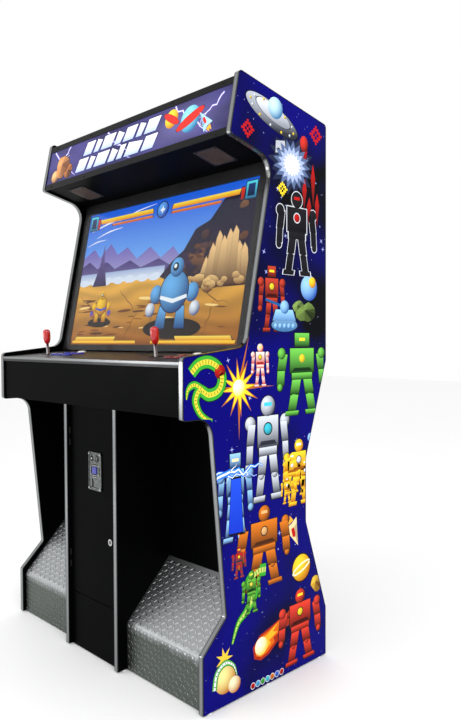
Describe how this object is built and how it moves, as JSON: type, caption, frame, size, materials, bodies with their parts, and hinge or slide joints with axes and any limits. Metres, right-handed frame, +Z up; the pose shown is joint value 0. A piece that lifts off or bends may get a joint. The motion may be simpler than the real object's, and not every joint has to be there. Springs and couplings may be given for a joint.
{
  "type": "upright arcade cabinet",
  "caption": "Upright two-player arcade cabinet with a wide screen, joysticks, push buttons, a lit marquee, a coin door and tread-plate foot recesses.",
  "frame": {"origin": "on the floor, in the middle of the cabinet's footprint", "axes": "+X to the right as a player faces the screen, +Y from the player to the back, +Z up"},
  "size_m": [1.046, 0.606, 1.794],
  "materials": {
    "black_board": "board with a black vinyl face, satin",
    "raw_board": "unfinished board",
    "printed_vinyl": "printed vinyl, satin",
    "chrome_moulding": "metallised plastic moulding, satin chrome",
    "bright_chrome": "bright chrome",
    "black_plastic": "fine textured",
    "blue_plastic": "gloss",
    "red_plastic": "gloss",
    "white_plastic": "gloss",
    "black_metal": "satin black",
    "grille_steel": "black perforated steel",
    "zinc_steel": "zinc plated",
    "tread_aluminium": "raised tread pattern",
    "deck_laminate": "printed laminate, satin",
    "marquee_acrylic": "printed translucent acrylic",
    "lamp_white": "white",
    "clear_glass": "clear polished",
    "screen_picture": "lit screen"
  },
  "bodies": {
    "cabinet": {"side_panel_left": "black_board", "side_panel_right": "black_board", "side_graphics": "printed_vinyl", "front_edge_trims": "chrome_moulding", "rear_edge_trims": "black_plastic", "roof_panel": "black_board", "marquee_panel": "marquee_acrylic", "marquee_retainers": "black_metal", "marquee_lamp": "lamp_white", "speaker_board": "black_board", "speaker_grilles": "grille_steel", "speakers": "black_plastic", "screen_bezel": "black_plastic", "screen_glass": "clear_glass", "monitor_panel": "screen_picture", "monitor_chassis": "zinc_steel", "control_deck": "deck_laminate", "control_box": "black_board", "inner_edge_trims": "chrome_moulding", "column_partitions": "black_board", "plinth_panel": "black_board", "kick_plates": "tread_aluminium", "recess_panels": "black_board", "inner_shelves": "raw_board", "back_panels": "black_board", "joystick_housings": "zinc_steel", "button_housings_left": "blue_plastic", "button_housings_right": "red_plastic", "button_housings_start": "white_plastic", "button_switches": "black_plastic", "door_fittings": "zinc_steel", "cash_box": "black_metal", "game_computer": "black_metal", "power_inlet": "black_plastic", "floor_glides": "white_plastic"},
    "coin_door": {"coin_door": "black_board", "coin_mech": "bright_chrome", "lock_barrel": "bright_chrome"},
    "lock_plug": {"lock_plug": "bright_chrome"},
    "reject_button": {"reject_button": "blue_plastic"},
    "return_flap": {"return_flap": "zinc_steel"},
    "power_switch": {"power_switch": "black_plastic"},
    "stick_ring_left": {"stick_ring_left": "black_plastic"},
    "stick_left": {"stick_left": "red_plastic"},
    "stick_ring_right": {"stick_ring_right": "black_plastic"},
    "stick_right": {"stick_right": "red_plastic"},
    "plunger_left_1": {"plunger_left_1": "blue_plastic"},
    "plunger_left_2": {"plunger_left_2": "blue_plastic"},
    "plunger_left_3": {"plunger_left_3": "blue_plastic"},
    "plunger_left_4": {"plunger_left_4": "blue_plastic"},
    "plunger_left_5": {"plunger_left_5": "blue_plastic"},
    "plunger_left_6": {"plunger_left_6": "blue_plastic"},
    "plunger_right_1": {"plunger_right_1": "red_plastic"},
    "plunger_right_2": {"plunger_right_2": "red_plastic"},
    "plunger_right_3": {"plunger_right_3": "red_plastic"},
    "plunger_right_4": {"plunger_right_4": "red_plastic"},
    "plunger_right_5": {"plunger_right_5": "red_plastic"},
    "plunger_right_6": {"plunger_right_6": "red_plastic"},
    "start_plunger_left": {"start_plunger_left": "white_plastic"},
    "start_plunger_right": {"start_plunger_right": "white_plastic"}
  },
  "joints": [
    {"name": "coin_door_hinge", "type": "hinge", "parent": "cabinet", "child": "coin_door", "pos_m": [-0.1298, -0.25, 0.5], "axis": [0, 0, -1], "range_deg": [0, 105]},
    {"name": "lock_turn", "type": "hinge", "parent": "coin_door", "child": "lock_plug", "pos_m": [0.1, -0.243, 0.397], "axis": [0, -1, 0], "range_deg": [0, 90]},
    {"name": "reject_press", "type": "slide", "parent": "coin_door", "child": "reject_button", "axis": [0, 1, 0], "range_m": [0, 0.003], "stiffness_N_per_m": 250},
    {"name": "return_flap_swing", "type": "hinge", "parent": "coin_door", "child": "return_flap", "pos_m": [0.0185, -0.245, 0.5855], "axis": [1, 0, 0], "range_deg": [0, 70]},
    {"name": "power_rock", "type": "hinge", "parent": "cabinet", "child": "power_switch", "pos_m": [-0.393, 0.288, 0.095], "axis": [1, 0, 0], "range_deg": [0, 12]},
    {"name": "stick_left_fore_aft", "type": "hinge", "parent": "cabinet", "child": "stick_ring_left", "pos_m": [-0.39, -0.1812, 0.95394], "axis": [1, 0, 0], "range_deg": [-10, 10], "stiffness_Nm_per_rad": 1},
    {"name": "stick_left_side", "type": "hinge", "parent": "stick_ring_left", "child": "stick_left", "pos_m": [-0.39, -0.1812, 0.95394], "axis": [0, 0.9976, 0.0698], "range_deg": [-10, 10], "stiffness_Nm_per_rad": 1},
    {"name": "stick_right_fore_aft", "type": "hinge", "parent": "cabinet", "child": "stick_ring_right", "pos_m": [0.256, -0.1812, 0.95394], "axis": [1, 0, 0], "range_deg": [-10, 10], "stiffness_Nm_per_rad": 1},
    {"name": "stick_right_side", "type": "hinge", "parent": "stick_ring_right", "child": "stick_right", "pos_m": [0.256, -0.1812, 0.95394], "axis": [0, 0.9976, 0.0698], "range_deg": [-10, 10], "stiffness_Nm_per_rad": 1},
    {"name": "plunger_left_1_press", "type": "slide", "parent": "cabinet", "child": "plunger_left_1", "axis": [0, 0.0698, -0.9976], "range_m": [0, 0.0025], "stiffness_N_per_m": 250},
    {"name": "plunger_left_2_press", "type": "slide", "parent": "cabinet", "child": "plunger_left_2", "axis": [0, 0.0698, -0.9976], "range_m": [0, 0.0025], "stiffness_N_per_m": 250},
    {"name": "plunger_left_3_press", "type": "slide", "parent": "cabinet", "child": "plunger_left_3", "axis": [0, 0.0698, -0.9976], "range_m": [0, 0.0025], "stiffness_N_per_m": 250},
    {"name": "plunger_left_4_press", "type": "slide", "parent": "cabinet", "child": "plunger_left_4", "axis": [0, 0.0698, -0.9976], "range_m": [0, 0.0025], "stiffness_N_per_m": 250},
    {"name": "plunger_left_5_press", "type": "slide", "parent": "cabinet", "child": "plunger_left_5", "axis": [0, 0.0698, -0.9976], "range_m": [0, 0.0025], "stiffness_N_per_m": 250},
    {"name": "plunger_left_6_press", "type": "slide", "parent": "cabinet", "child": "plunger_left_6", "axis": [0, 0.0698, -0.9976], "range_m": [0, 0.0025], "stiffness_N_per_m": 250},
    {"name": "plunger_right_1_press", "type": "slide", "parent": "cabinet", "child": "plunger_right_1", "axis": [0, 0.0698, -0.9976], "range_m": [0, 0.0025], "stiffness_N_per_m": 250},
    {"name": "plunger_right_2_press", "type": "slide", "parent": "cabinet", "child": "plunger_right_2", "axis": [0, 0.0698, -0.9976], "range_m": [0, 0.0025], "stiffness_N_per_m": 250},
    {"name": "plunger_right_3_press", "type": "slide", "parent": "cabinet", "child": "plunger_right_3", "axis": [0, 0.0698, -0.9976], "range_m": [0, 0.0025], "stiffness_N_per_m": 250},
    {"name": "plunger_right_4_press", "type": "slide", "parent": "cabinet", "child": "plunger_right_4", "axis": [0, 0.0698, -0.9976], "range_m": [0, 0.0025], "stiffness_N_per_m": 250},
    {"name": "plunger_right_5_press", "type": "slide", "parent": "cabinet", "child": "plunger_right_5", "axis": [0, 0.0698, -0.9976], "range_m": [0, 0.0025], "stiffness_N_per_m": 250},
    {"name": "plunger_right_6_press", "type": "slide", "parent": "cabinet", "child": "plunger_right_6", "axis": [0, 0.0698, -0.9976], "range_m": [0, 0.0025], "stiffness_N_per_m": 250},
    {"name": "start_plunger_left_press", "type": "slide", "parent": "cabinet", "child": "start_plunger_left", "axis": [0, 0.0698, -0.9976], "range_m": [0, 0.0025], "stiffness_N_per_m": 250},
    {"name": "start_plunger_right_press", "type": "slide", "parent": "cabinet", "child": "start_plunger_right", "axis": [0, 0.0698, -0.9976], "range_m": [0, 0.0025], "stiffness_N_per_m": 250}
  ]
}
